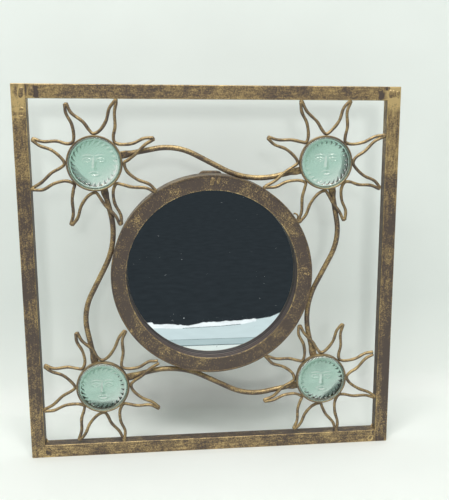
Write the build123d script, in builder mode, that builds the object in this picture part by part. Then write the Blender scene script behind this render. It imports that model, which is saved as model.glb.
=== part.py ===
from build123d import *
import os
from math import asin, atan2, cos, degrees, radians, sin, sqrt, tan

# Wall mirror of welded steel: a square frame of tube, a deep round ring with the mirror in its middle,
# a sun with a pressed-glass face in each corner, and four bent rods that run from sun to sun.
# It stands on its bottom rail in the XZ plane and faces -Y. All sizes are in millimetres.
# The origin is the middle of the underside of the bottom rail, halfway through the tube.

# ---- Driving dimensions: square frame
frame_side = 356.0          # outside of the frame, about 14 in
tube_side = 12.7            # 1/2 in square tube
tube_wall = 1.2
tube_edge_radius = 0.9
cap_thickness = 1.5         # plate that closes each end of a stile

# ---- Round ring and mirror
ring_diameter = 193.0
ring_depth = 28.0
band_wall = 1.6             # rolled strip round the outside
face_width = 12.8           # from the band in to the clear opening
face_thickness = 1.6
face_inset = 0.5            # the face lies this far behind the band's front edge
lip_wall = 1.6              # short band round the opening
mirror_recess = 12.0        # from the face back to the mirror
mirror_thickness = 3.0
mirror_clearance = 2.9      # from the mirror's edge to the band
board_thickness = 3.2
board_clearance = 1.4
clip_width = 12.0
clip_thickness = 1.2
clip_reach = 11.0           # how far a clip's foot covers the board
clip_count = 4
clip_first_angle = 45.0
weld_gap = 0.05             # between pieces that only a weld bead joins

# ---- Suns
wire_diameter = 3.0
bezel_diameter = 50.8       # 2 in
bezel_wall = 1.6
bezel_depth = 5.0
bezel_proud = 1.5           # how far the bezel stands in front of the frame
ledge_width = 1.5           # ring inside the bezel's back that the glass lies on
ledge_thickness = 1.0
glass_clearance = 0.2
glass_rim = 3.4
glass_dome = 3.6
ray_count = 8
ray_inset = 0.5             # from the frame's front to the front of the wires
ray_bend_radius = 2.5       # where a wire is bent round the bezel
ray_wave_radius = 11.0
ray_tip_gap = 0.2           # between the two wires that meet in a flame's tip
ray_tip_lean = 15.5         # how far the leading wire's last run leans to the flame's centre line
ray_tip_share = 0.23        # that run's share of the flame's height

# The two edges of a flame, as (share of its height, distance from its centre line).
leading_edge = ((0.15, 5.9), (0.45, 2.5))
trailing_edge = ((0.36, 6.9), (0.73, 1.65))

# ---- Bent rods between the suns
stem_diameter = 5.0
stem_end_width = 7.0
stem_end_thickness = 3.0
stem_end_edge = 1.2         # rounding of the hammered end
stem_end_length = 7.0       # hammered flat
stem_taper_length = 5.0     # from flat to round
stem_end_overlap = 3.0      # length that lies behind a bezel
stem_start_angle = 17.45    # from the first sun's centre to the rod's start behind it
stem_touch_angle = 75.0     # where the top rod touches the ring
stem_crown_radius = 56.0    # bend away from the ring
stem_hollow_radius = 75.0   # bend beside the ring
stem_leans = (10.7, -27.3, 13.1)    # the top rod's three straight runs, up from level

# ---- Hanging loop
hanger_wire = 4.0
hanger_width = 20.0         # between the centre lines of its legs
hanger_height = 16.0
hanger_rise = 2.0           # the loop's top above the ring
hanger_bend_radius = 4.0

# ---- Places worked out from the sizes above
front_y = -tube_side / 2
half_side = frame_side / 2
half_opening = half_side - tube_side
ring_radius = ring_diameter / 2
band_inner_radius = ring_radius - band_wall
view_radius = band_inner_radius - face_width
wire_radius = wire_diameter / 2
face_y = front_y + face_inset
mirror_y = face_y + mirror_recess
board_y = mirror_y + mirror_thickness
clip_y = board_y + board_thickness
band_back_y = front_y + ring_depth
wire_y = front_y + ray_inset + wire_radius
bezel_back_y = front_y - bezel_proud + bezel_depth
stem_front_y = max(bezel_back_y, wire_y + wire_radius) + weld_gap
bezel_radius = bezel_diameter / 2
glass_radius = bezel_radius - bezel_wall - glass_clearance
corners = {"top_left": (-1, 1), "top_right": (1, 1), "bottom_right": (1, -1), "bottom_left": (-1, -1)}

# A flame that points at the frame leans half a ray's pitch away from the frame's normal, and one that
# points at the ring leans as far from the line between the centres. Both touch with the rim of their
# leading wire's end. The reach that suits both is the root of one quadratic.
half_pitch = 180 / ray_count
lean_cos = cos(radians(half_pitch))
lean_sin = sin(radians(half_pitch))
tip_side = wire_radius + ray_tip_gap / 2
rim_ahead = wire_radius * sin(radians(ray_tip_lean))
rim_aside = tip_side + wire_radius * cos(radians(ray_tip_lean))
rim_forward = rim_ahead * lean_cos + rim_aside * lean_sin
rim_across = rim_ahead * lean_sin - rim_aside * lean_cos
tip_room = half_opening - weld_gap - rim_forward
centre_room = sqrt(2) * tip_room - rim_forward
centre_use = (1 + sqrt(2)) * lean_cos
square_term = centre_use**2 + lean_sin**2
half_linear_term = centre_room * centre_use - rim_across * lean_sin
constant_term = centre_room**2 + rim_across**2 - (ring_radius + weld_gap) ** 2
ray_reach = (half_linear_term - sqrt(half_linear_term**2 - square_term * constant_term)) / square_term
sun_offset = tip_room - ray_reach * lean_cos


def facing(x, y, z, turn=0.0):
    """A plane that faces the front, its x axis turned by this many degrees from +X towards +Z."""
    across = (cos(radians(turn)), 0, sin(radians(turn)))
    return Plane(origin=(x, y, z), x_dir=across, z_dir=(0, -1, 0))


def polar(radius, angle):
    """The point at this distance and angle from a plane's origin."""
    return Vector(radius * cos(radians(angle)), radius * sin(radians(angle)))


def direction(start, end, offset):
    """The angle of a line from start that passes the end at this distance, the end on its left."""
    span = end - start
    return degrees(atan2(span.Y, span.X) - asin(offset / span.length))


def bend_corner(before, centre, radius, after, side):
    """The corner between two points whose rounding has this centre, left (1) or right (-1) of the path."""
    arriving = direction(before, centre, side * radius)
    leaving = direction(after, centre, -side * radius)
    line_in = Axis(before, polar(1, arriving))
    line_out = Axis(after, polar(1, leaving))
    return line_in.intersect(line_out)


def cut_plane(plane, point, heading):
    """The plane that cuts across a path at a point of this plane."""
    origin = plane.from_local_coords(point)
    ahead = plane.from_local_coords(point + heading) - origin
    return Plane(origin, x_dir=ahead.cross(plane.z_dir), z_dir=ahead)


def save(builder, name):
    """Label a finished piece and write its file."""
    builder.part.label = name
    export_step(builder.part, f"parts/{name}.step")


os.makedirs("parts", exist_ok=True)


# ---- Square frame: two full-height stiles with closed ends, and two rails between them
for side, name in ((-1, "stile_left"), (1, "stile_right")):
    stile_x = side * (half_side - tube_side / 2)
    with BuildPart() as stile:
        with BuildSketch(Plane((stile_x, 0, cap_thickness))):
            RectangleRounded(tube_side, tube_side, tube_edge_radius)
            Rectangle(tube_side - 2 * tube_wall, tube_side - 2 * tube_wall, mode=Mode.SUBTRACT)
        extrude(amount=frame_side - 2 * cap_thickness)
    save(stile, name)

for z, name in ((tube_side / 2, "rail_bottom"), (frame_side - tube_side / 2, "rail_top")):
    with BuildPart() as rail:
        with BuildSketch(Plane((-half_opening, 0, z), x_dir=(0, 1, 0), z_dir=(1, 0, 0))):
            RectangleRounded(tube_side, tube_side, tube_edge_radius)
            Rectangle(tube_side - 2 * tube_wall, tube_side - 2 * tube_wall, mode=Mode.SUBTRACT)
        extrude(amount=2 * half_opening)
    save(rail, name)

for corner, (side, level) in corners.items():
    cap_x = side * (half_side - tube_side / 2)
    cap_z = frame_side - cap_thickness if level > 0 else 0
    with BuildPart() as cap:
        with BuildSketch(Plane((cap_x, 0, cap_z))):
            RectangleRounded(tube_side, tube_side, tube_edge_radius)
        extrude(amount=cap_thickness)
        outer_face = cap.faces().sort_by(Axis.Z)[-1 if level > 0 else 0]
        fillet(outer_face.edges(), cap_thickness / 2)
    save(cap, f"end_cap_{corner}")


# ---- Round ring: outer band, flat face and the lip that the mirror lies against
with BuildPart() as ring_band:
    with BuildSketch(facing(0, front_y, half_side)):
        Circle(ring_radius)
        Circle(band_inner_radius, mode=Mode.SUBTRACT)
    extrude(amount=-ring_depth)
    fillet(ring_band.edges().group_by(Axis.Y)[0], band_wall / 4)
save(ring_band, "ring_band")

with BuildPart() as ring_face:
    with BuildSketch(facing(0, face_y, half_side)):
        Circle(band_inner_radius - weld_gap)
        Circle(view_radius, mode=Mode.SUBTRACT)
    extrude(amount=-face_thickness)
    fillet(ring_face.edges().group_by(Axis.Y)[0].sort_by(SortBy.RADIUS)[0], face_thickness / 3)
save(ring_face, "ring_face")

with BuildPart() as ring_lip:
    with BuildSketch(facing(0, face_y + face_thickness, half_side)):
        Circle(view_radius + lip_wall)
        Circle(view_radius, mode=Mode.SUBTRACT)
    extrude(amount=face_thickness - mirror_recess)
save(ring_lip, "ring_lip")


# ---- Mirror, its board and the clips that hold both in the band
with BuildPart() as mirror_glass:
    with BuildSketch(facing(0, mirror_y, half_side)):
        Circle(band_inner_radius - mirror_clearance)
    extrude(amount=-mirror_thickness)
save(mirror_glass, "mirror_glass")

with BuildPart() as backing_board:
    with BuildSketch(facing(0, board_y, half_side)):
        Circle(band_inner_radius - board_clearance)
    extrude(amount=-board_thickness)
save(backing_board, "backing_board")

with BuildPart() as backing_clips:
    for index in range(clip_count):
        turn = clip_first_angle + index * 360 / clip_count
        foot_plane = facing(0, clip_y, half_side, turn)
        foot_start = band_inner_radius - clip_reach
        with BuildSketch(foot_plane):
            with Locations((foot_start + clip_reach / 2, 0)):
                Rectangle(clip_reach, clip_width)
            Circle(band_inner_radius - weld_gap, mode=Mode.INTERSECT)
        extrude(amount=-clip_thickness)
        with BuildSketch(foot_plane):
            with Locations((band_inner_radius, 0)):
                Rectangle(2 * clip_thickness, clip_width)
            Circle(band_inner_radius - weld_gap, mode=Mode.INTERSECT)
        extrude(amount=clip_y - band_back_y)
save(backing_clips, "backing_clips")

with BuildPart() as hanger_loop:
    loop_plane = facing(0, band_back_y + hanger_wire / 2, half_side)
    loop_top = ring_radius + hanger_rise - hanger_wire / 2
    loop_foot = loop_top - hanger_height
    with BuildLine(loop_plane) as loop_path:
        FilletPolyline(
            (-hanger_width / 2, loop_foot),
            (-hanger_width / 2, loop_top),
            (hanger_width / 2, loop_top),
            (hanger_width / 2, loop_foot),
            radius=hanger_bend_radius,
        )
    with BuildSketch(Plane(loop_path.line @ 0, z_dir=loop_path.line % 0)):
        Circle(hanger_wire / 2)
    sweep()
save(hanger_loop, "hanger_loop")


# ---- Suns: a bezel with a domed glass face, and eight wires whose ends meet in flames
for corner, (side, level) in corners.items():
    sun_x = side * sun_offset
    sun_z = half_side + level * sun_offset

    section_plane = Plane((sun_x, bezel_back_y, sun_z), x_dir=(1, 0, 0), z_dir=(0, 0, -1))
    sun_axis = Axis((sun_x, bezel_back_y, sun_z), (0, -1, 0))
    with BuildPart() as bezel:
        with BuildSketch(section_plane):
            with BuildLine():
                Polyline(
                    (bezel_radius, 0),
                    (bezel_radius, bezel_depth),
                    (bezel_radius - bezel_wall, bezel_depth),
                    (bezel_radius - bezel_wall, ledge_thickness),
                    (bezel_radius - bezel_wall - ledge_width, ledge_thickness),
                    (bezel_radius - bezel_wall - ledge_width, 0),
                    close=True,
                )
            make_face()
        revolve(axis=sun_axis)
        fillet(bezel.edges().group_by(Axis.Y)[0], bezel_wall / 4)
    save(bezel, f"bezel_{corner}")

    with BuildPart() as glass:
        with BuildSketch(section_plane):
            with BuildLine():
                top = ledge_thickness + glass_rim
                Line((0, ledge_thickness), (glass_radius, ledge_thickness))
                Line((glass_radius, ledge_thickness), (glass_radius, top))
                TangentArc((0, top + glass_dome), (glass_radius, top), tangent=(1, 0))
                Line((0, top + glass_dome), (0, ledge_thickness))
            make_face()
        revolve(axis=sun_axis)
    save(glass, f"glass_face_{corner}")

    # One wire lies between two flames: it comes down the leading edge of one, bends round in the
    # valley on the bezel, and goes up the trailing edge of the next.
    flame_root = (bezel_radius + wire_radius) * lean_cos
    flame_height = ray_reach - flame_root
    tip_run = ray_tip_share * flame_height
    leading = [Vector(flame_root + share * flame_height, aside) for share, aside in leading_edge]
    trailing = [Vector(flame_root + share * flame_height, -aside) for share, aside in trailing_edge]
    leading.append(Vector(ray_reach - tip_run, tip_side + tip_run * tan(radians(ray_tip_lean))))
    leading.append(Vector(ray_reach, tip_side))
    trailing.append(Vector(ray_reach, -tip_side))
    coming_down = [point.rotate(Axis.Z, -half_pitch) for point in reversed(leading)]
    going_up = [point.rotate(Axis.Z, half_pitch) for point in trailing]
    valley_centre = Vector(bezel_radius + weld_gap + wire_radius + ray_bend_radius, 0)
    valley = bend_corner(coming_down[-1], valley_centre, ray_bend_radius, going_up[0], -1)
    points = [tuple(point) for point in coming_down + [valley] + going_up]
    bends = [ray_wave_radius] * (len(leading) - 1) + [ray_bend_radius]
    bends += [ray_wave_radius] * (len(trailing) - 1)
    for index in range(ray_count):
        ray_plane = facing(sun_x, wire_y, sun_z, index * 360 / ray_count)
        with BuildPart() as ray:
            with BuildLine(ray_plane) as ray_path:
                FilletPolyline(*points, radius=bends)
            with BuildSketch(Plane(ray_path.line @ 0, z_dir=ray_path.line % 0)):
                Circle(wire_radius)
            sweep()
        save(ray, f"ray_{corner}_{index + 1}")


# ---- Bent rods: each runs clockwise from one sun to the next and touches the ring on its way
# The way of the top rod, seen from the ring's centre; the others are the same, turned.
first_heading, cross_heading, last_heading = [polar(1, lean) for lean in stem_leans]
end_radius = bezel_radius - stem_end_overlap
last_sun = Vector(sun_offset, sun_offset)
first_end = Vector(-sun_offset, sun_offset) + polar(end_radius, stem_start_angle)
hollow_reach = ring_radius + weld_gap + stem_diameter / 2 + stem_hollow_radius
hollow = polar(hollow_reach, stem_touch_angle)
crossing = Axis(hollow + polar(stem_hollow_radius, stem_leans[1] - 90), cross_heading)
run_out = Axis(hollow + polar(stem_hollow_radius, stem_leans[2] - 90), last_heading)
first_corner = Axis(first_end, first_heading).intersect(crossing)
last_corner = crossing.intersect(run_out)
sun_ahead = last_sun - last_corner
run_length = sun_ahead.dot(last_heading) - sqrt(end_radius**2 - sun_ahead.cross(last_heading).length ** 2)
last_end = last_corner + last_heading * run_length
end_length = stem_end_length + stem_taper_length
round_start = first_end + first_heading * end_length
round_end = last_end - last_heading * end_length

stem_y = stem_front_y + stem_diameter / 2
flat_y = stem_front_y + stem_end_thickness / 2
stem_turns = {"stem_top": 0, "stem_right": -90, "stem_bottom": 180, "stem_left": 90}
for name, turn in stem_turns.items():
    stem_plane = facing(0, stem_y, half_side, turn)
    flat_plane = facing(0, flat_y, half_side, turn)
    with BuildPart() as stem:
        with BuildLine(stem_plane) as stem_path:
            FilletPolyline(
                tuple(round_start),
                tuple(first_corner),
                tuple(last_corner),
                tuple(round_end),
                radius=[stem_crown_radius, stem_hollow_radius],
            )
        with BuildSketch(cut_plane(stem_plane, round_start, first_heading)):
            Circle(stem_diameter / 2)
        sweep()
        for end, heading in ((first_end, first_heading), (last_end, -last_heading)):
            hammered = cut_plane(flat_plane, end, heading)
            round_point = end + heading * end_length
            with BuildSketch(hammered):
                RectangleRounded(stem_end_width, stem_end_thickness, stem_end_edge)
            extrude(amount=stem_end_length)
            with BuildSketch(hammered.offset(stem_end_length)):
                RectangleRounded(stem_end_width, stem_end_thickness, stem_end_edge)
            with BuildSketch(cut_plane(stem_plane, round_point, heading)):
                Circle(stem_diameter / 2)
            loft()
    save(stem, name)
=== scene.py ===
import math

import bmesh
import bpy
from mathutils import Euler, Matrix, Vector, noise
from mathutils.geometry import interpolate_bezier


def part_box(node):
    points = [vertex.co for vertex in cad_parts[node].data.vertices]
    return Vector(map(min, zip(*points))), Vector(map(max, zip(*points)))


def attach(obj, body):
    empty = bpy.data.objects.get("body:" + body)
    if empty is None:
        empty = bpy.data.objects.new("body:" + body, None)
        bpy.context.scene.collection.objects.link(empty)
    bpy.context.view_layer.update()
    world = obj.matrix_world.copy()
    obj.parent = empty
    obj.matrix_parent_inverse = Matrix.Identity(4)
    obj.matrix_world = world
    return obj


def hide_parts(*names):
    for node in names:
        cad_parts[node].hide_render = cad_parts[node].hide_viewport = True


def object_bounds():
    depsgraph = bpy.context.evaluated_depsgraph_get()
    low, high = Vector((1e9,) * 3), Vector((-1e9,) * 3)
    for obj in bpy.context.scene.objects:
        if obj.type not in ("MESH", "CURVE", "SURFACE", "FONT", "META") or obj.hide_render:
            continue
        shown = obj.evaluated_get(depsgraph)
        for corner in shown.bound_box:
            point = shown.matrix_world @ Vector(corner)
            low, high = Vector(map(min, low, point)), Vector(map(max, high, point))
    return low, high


bl_info = {
    "name": "Sun wall mirror",
    "version": (1, 0, 0),
    "blender": (4, 5, 0),
    "location": "3D View > Sidebar > Mirror",
    "description": "Dresses the welded sun mirror: rubbed paint, welds, pressed glass, mirror and stage",
    "category": "Object",
}

MM = 0.001
BODY = "root"
CORNERS = ("top_left", "top_right", "bottom_right", "bottom_left")

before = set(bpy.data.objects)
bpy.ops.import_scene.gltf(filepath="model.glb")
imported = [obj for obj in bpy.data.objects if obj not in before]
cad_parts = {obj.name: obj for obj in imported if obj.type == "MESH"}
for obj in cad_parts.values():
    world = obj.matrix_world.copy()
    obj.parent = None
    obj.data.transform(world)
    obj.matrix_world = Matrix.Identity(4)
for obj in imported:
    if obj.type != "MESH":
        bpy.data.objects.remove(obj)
cad_low, cad_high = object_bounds()


# ---- Sizes read from the frame

def middle(node):
    """The centre of a node's box."""
    low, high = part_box(node)
    return (low + high) / 2


def span(node):
    """The width, depth and height of a node's box."""
    low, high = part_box(node)
    return high - low


ring_centre = middle("ring_band")
ring_radius = span("ring_band").z / 2
front_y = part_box("stile_left")[0].y
tube_side = span("stile_left").x
half_side = cad_high.x
opening = half_side - tube_side             # half the width between the stiles
bezel_radius = span("bezel_top_left").x / 2
wire_radius = span("ray_top_left_1").y / 2


# ---- Colours and nodes

def linear(code):
    """An sRGB hex colour as linear values, with full alpha."""
    values = [int(code[place:place + 2], 16) / 255 for place in (1, 3, 5)]
    return tuple(v / 12.92 if v <= 0.04045 else ((v + 0.055) / 1.055) ** 2.4 for v in values) + (1.0,)


def add_node(tree, kind, inputs=None, **settings):
    """A new node with its settings; an input is a value or the socket that feeds it."""
    node = tree.nodes.new(kind)
    for name, value in settings.items():
        setattr(node, name, value)
    for name, value in (inputs or {}).items():
        if isinstance(value, bpy.types.NodeSocket):
            tree.links.new(value, node.inputs[name])
        else:
            node.inputs[name].default_value = value
    return node


def new_material(name, shading, *settings, **more):
    """A node material. shading adds its nodes, with patterns that follow the place on the piece in
    metres, and gives back its shader."""
    material = bpy.data.materials.new(name)
    material.use_nodes = True
    tree = material.node_tree
    tree.nodes.clear()
    place = add_node(tree, "ShaderNodeTexCoord").outputs["Object"]
    shader = shading(tree, place, *settings, **more)
    add_node(tree, "ShaderNodeOutputMaterial", {"Surface": shader.outputs[0]})
    return material


def seen_distance(tree, place, centre):
    """How far a place is from a centre when both are looked at from the front."""
    flat = add_node(tree, "ShaderNodeVectorMath", {0: place, 1: (1, 0, 1)}, operation="MULTIPLY")
    return add_node(tree, "ShaderNodeVectorMath", {0: flat.outputs[0], 1: (centre.x, 0, centre.z)},
                    operation="DISTANCE").outputs["Value"]


# ---- Materials

BROWN = "#504640"           # enamel in the hollows
BRONZE = "#867355"          # thinly rubbed
GOLD = "#e0c58c"            # thickly rubbed

THIN_WAX = (0.0, 0.5)               # shares of gold between which the enamel turns bronze
THICK_WAX = (0.5, 1.55)             # and between which the bronze turns to full gold
PAINT_METALLIC = (0.1, 0.55)        # bare enamel, waxed
PAINT_ROUGHNESS = (0.55, 0.42)
STIPPLE = 1.2 * MM
PAINTED_LIGHT_WAY = (-0.32, -0.55, 0.77)      # the way the light comes from, up, forward and left: faces that look this way get a painted highlight of gold
PAINTED_LIGHT_ZONE = (0.25, 0.95)             # how far a face looks that way, where the painted highlight grows
TOP_ZONE = (235 * MM, 310 * MM)     # heights over which it thickens upwards
BOTTOM_ZONE = (100 * MM, 20 * MM)   # and downwards
CORNER_ZONE = tuple(2 * half_side - distance * MM for distance in (48, 22))     # and to a corner
SIDE_ZONE = (-0.62, -0.3)           # how far a bar's face looks back, where less wax lies
ARRIS_ZONE, ARRIS_GOLD = (-0.99, -0.9), 0.5     # and where the rounding of its front edge begins
MARK_EDGE = (1.6, 1.15)             # where a mark fades in, by its half sizes and the stipple


# Rubbed gold paint: brown enamel brushed on welded steel, with gold wax rubbed over it by hand. The wax
# catches on arrises and weld beads and lies in patches and fine stipple, so the eye sees dull bronze
# that turns to gold at the corners and to plain brown along the middle of the stiles.
# Faces that look up, forward and left, towards the light, get a painted highlight of more gold.
def rubbed_gold(tree, place, grain, cover, blotch=14.0, top=0.0, bottom=0.0, corner=0.0, front=0.0,
                sides=0.0, arrises=(), marks=(), uneven=1.0):
    """The paint. grain is the length of the brush marks along x, y and z, and blotch the size of its
    patches, in millimetres. cover is how much gold lies on the whole, top, bottom and corner how much
    more lies there, and sides how much less on the bars' sides. front is how much more gold is painted
    on faces that look towards the light, as a painted highlight. arrises are edges that are rubbed
    bright or left dark: radius, width, gold. marks are patches on the frame's front: x, z, half width,
    half height, gold. uneven is how strongly patches, stipple and brush marks show."""
    gold = cover

    def more_gold(value, start, end, share, low=0.0, kind="SMOOTHSTEP"):
        """The gold so far, and this share more where a value has gone from start to end."""
        reached = add_node(tree, "ShaderNodeMapRange", {
            "Value": value, "From Min": start, "From Max": end, "To Min": low}, interpolation_type=kind)
        return add_node(tree, "ShaderNodeMath", {0: reached.outputs[0], 1: share, 2: gold},
                        operation="MULTIPLY_ADD").outputs[0]

    patches = add_node(tree, "ShaderNodeTexNoise", {
        "Vector": place, "Scale": 1 / (blotch * MM), "Detail": 3.0, "Roughness": 0.6})
    stipple = add_node(tree, "ShaderNodeTexNoise", {
        "Vector": place, "Scale": 1 / STIPPLE, "Detail": 2.0, "Roughness": 0.7})
    stretched = add_node(tree, "ShaderNodeMapping", {
        "Vector": place, "Scale": tuple(1 / (length * MM) for length in grain)})
    strokes = add_node(tree, "ShaderNodeTexNoise", {
        "Vector": stretched.outputs["Vector"], "Scale": 1.0, "Detail": 2.0, "Roughness": 0.6})
    for texture, share, width in ((patches, 0.6, 0.25), (stipple, 0.5, 0.14), (strokes, 0.5, 0.25)):
        gold = more_gold(texture.outputs["Fac"], 0.5 - width, 0.5 + width, share * uneven, -1.0, "LINEAR")

    height = add_node(tree, "ShaderNodeSeparateXYZ", {0: place}).outputs["Z"]
    offset = add_node(tree, "ShaderNodeVectorMath", {0: place, 1: ring_centre}, operation="SUBTRACT")
    offset = add_node(tree, "ShaderNodeVectorMath", {0: offset.outputs[0]}, operation="ABSOLUTE")
    spread = add_node(tree, "ShaderNodeVectorMath", {0: offset.outputs[0], 1: (1, 0, 1)},
                      operation="DOT_PRODUCT").outputs["Value"]
    normal = add_node(tree, "ShaderNodeNewGeometry").outputs["Normal"]
    # How far a face looks towards the light; front adds a painted highlight of gold there.
    painted_light_facing = add_node(tree, "ShaderNodeVectorMath", {0: normal, 1: PAINTED_LIGHT_WAY},
                   operation="DOT_PRODUCT").outputs["Value"]
    back = add_node(tree, "ShaderNodeSeparateXYZ", {0: normal}).outputs["Y"]
    for value, zone, share in (
            (height, TOP_ZONE, top), (height, BOTTOM_ZONE, bottom), (spread, CORNER_ZONE, corner),
            (painted_light_facing, PAINTED_LIGHT_ZONE, front), (back, SIDE_ZONE, -sides), (back, ARRIS_ZONE, sides and ARRIS_GOLD)):
        if share:
            gold = more_gold(value, *zone, share)

    reach = seen_distance(tree, place, ring_centre)
    for radius, width, share in arrises:
        away = add_node(tree, "ShaderNodeMath", {0: reach, 1: radius * MM}, operation="SUBTRACT")
        away = add_node(tree, "ShaderNodeMath", {0: away.outputs[0]}, operation="ABSOLUTE")
        gold = more_gold(away.outputs[0], width * MM, 0.3 * width * MM, share)

    # Off the front, every mark is far away. On it, the stipple makes the edges ragged.
    behind = add_node(tree, "ShaderNodeMapRange", {
        "Value": back, "From Min": -0.8, "From Max": -0.5, "To Max": 9.0},
        interpolation_type="SMOOTHSTEP")
    ragged_edge = add_node(tree, "ShaderNodeMath", {
        0: stipple.outputs["Fac"], 1: 0.9, 2: behind.outputs[0]}, operation="MULTIPLY_ADD")
    for x, z, wide, high, share in marks:
        near = add_node(tree, "ShaderNodeMapping", {
            "Vector": place, "Location": (-x / wide, 0, -z / high),
            "Scale": (1 / (wide * MM), 0, 1 / (high * MM))})
        away = add_node(tree, "ShaderNodeVectorMath", {0: near.outputs["Vector"]}, operation="LENGTH")
        away = add_node(tree, "ShaderNodeMath", {0: ragged_edge.outputs[0], 1: away.outputs["Value"]})
        gold = more_gold(away.outputs[0], *MARK_EDGE, share)
    return waxed_shader(tree, gold)


def waxed_shader(tree, gold):
    """The paint's colour, gloss and relief, from how much gold lies on it."""
    shares = []
    for (start, end), (low, high) in (
            (THIN_WAX, (0, 1)), (THICK_WAX, (0, 1)), ((0, 1), PAINT_METALLIC), ((0, 1), PAINT_ROUGHNESS)):
        share = add_node(tree, "ShaderNodeMapRange", {
            "Value": gold, "From Min": start, "From Max": end, "To Min": low, "To Max": high})
        shares.append(share.outputs[0])
    thin, thick, metallic, roughness = shares
    tone = linear(BROWN)
    for share, code in ((thin, BRONZE), (thick, GOLD)):
        tone = add_node(tree, "ShaderNodeMix", {0: share, 6: tone, 7: linear(code)},
                        data_type="RGBA").outputs[2]
    relief = add_node(tree, "ShaderNodeBump", {
        "Height": gold, "Strength": 0.3, "Distance": 0.2 * MM})
    return add_node(tree, "ShaderNodeBsdfPrincipled", {
        "Base Color": tone, "Metallic": metallic, "Roughness": roughness,
        "Normal": relief.outputs[0], "Specular IOR Level": 0.4})


def gold_paint(where, *settings, **more):
    """The rubbed gold paint as it lies on some of the pieces."""
    return new_material(f"rubbed gold paint on the {where}", rubbed_gold, *settings, **more)


# Bare brown enamel inside the ring: no wax reaches it. It keeps the fine round grooves of the spun
# strip, so it looks like dark turned metal; the bump raises each groove's crest, and the crest is
# also painted lighter, a faint painted sheen. The grooves are drawn somewhat wider than real ones,
# which would be too fine to see.
def grooved_enamel(tree, place):
    face_pitch, depth_pitch = 1.4 * MM, 4.5 * MM        # from groove to groove, outwards and inwards
    wander = add_node(tree, "ShaderNodeTexNoise", {
        "Vector": place, "Scale": 1 / (14 * MM), "Detail": 2.0})
    reach = seen_distance(tree, place, ring_centre)
    depth = add_node(tree, "ShaderNodeSeparateXYZ", {0: place})
    turns = add_node(tree, "ShaderNodeMath", {
        0: depth.outputs["Y"], 1: 2 * math.pi / depth_pitch}, operation="MULTIPLY")
    turns = add_node(tree, "ShaderNodeMath", {
        0: reach, 1: 2 * math.pi / face_pitch, 2: turns.outputs[0]}, operation="MULTIPLY_ADD")
    phase = add_node(tree, "ShaderNodeMath", {
        0: wander.outputs["Fac"], 1: 5.0, 2: turns.outputs[0]}, operation="MULTIPLY_ADD")
    wave = add_node(tree, "ShaderNodeMath", {0: phase.outputs[0]}, operation="SINE")
    # Each groove's crest: raised by the bump below, and painted lighter, a painted sheen.
    crest_and_sheen = add_node(tree, "ShaderNodeMapRange", {
        "Value": wave.outputs[0], "From Min": 0.2, "From Max": 1.0})
    shade = add_node(tree, "ShaderNodeMix", {
        0: crest_and_sheen.outputs[0], 6: linear("#3f3535"), 7: linear("#968a84")}, data_type="RGBA")
    relief = add_node(tree, "ShaderNodeBump", {
        "Height": crest_and_sheen.outputs[0], "Strength": 0.5, "Distance": 0.2 * MM})
    return add_node(tree, "ShaderNodeBsdfPrincipled", {
        "Base Color": shade.outputs[2], "Metallic": 0.15, "Roughness": 0.38,
        "Normal": relief.outputs[0]})


# Where each sun's glass rim is painted deep green, a painted shade: degrees from +X towards +Z, and how
# strongly.
PAINTED_RIM_SHADE_WAYS = {"top_left": (222, 0.75), "top_right": (-8, 0.9), "bottom_right": (-48, 1.0),
            "bottom_left": (268, 1.0)}
PAINTED_GLASS_LIGHT_WAY = (-0.45, 0, 0.75)       # the way the painted light on the glass comes from: up and left
PAINTED_SHADE_SLOPES, PAINTED_HIGHLIGHT_SLOPES = (-0.04, -0.36), (0.04, 0.3)    # how far the slopes face that way, for painted shade and painted highlight
PAINTED_RIM_SHADE_SLOPES = (0.21, 0.30)           # how far the facets with the painted rim shade face away from the rim
RIM_INNER = (15 * MM, 15.6 * MM)    # radii over which the painted rim shade begins
RIM_OUTER = (21.8 * MM, 21.2 * MM)  # and over which it ends, from the outside


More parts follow.
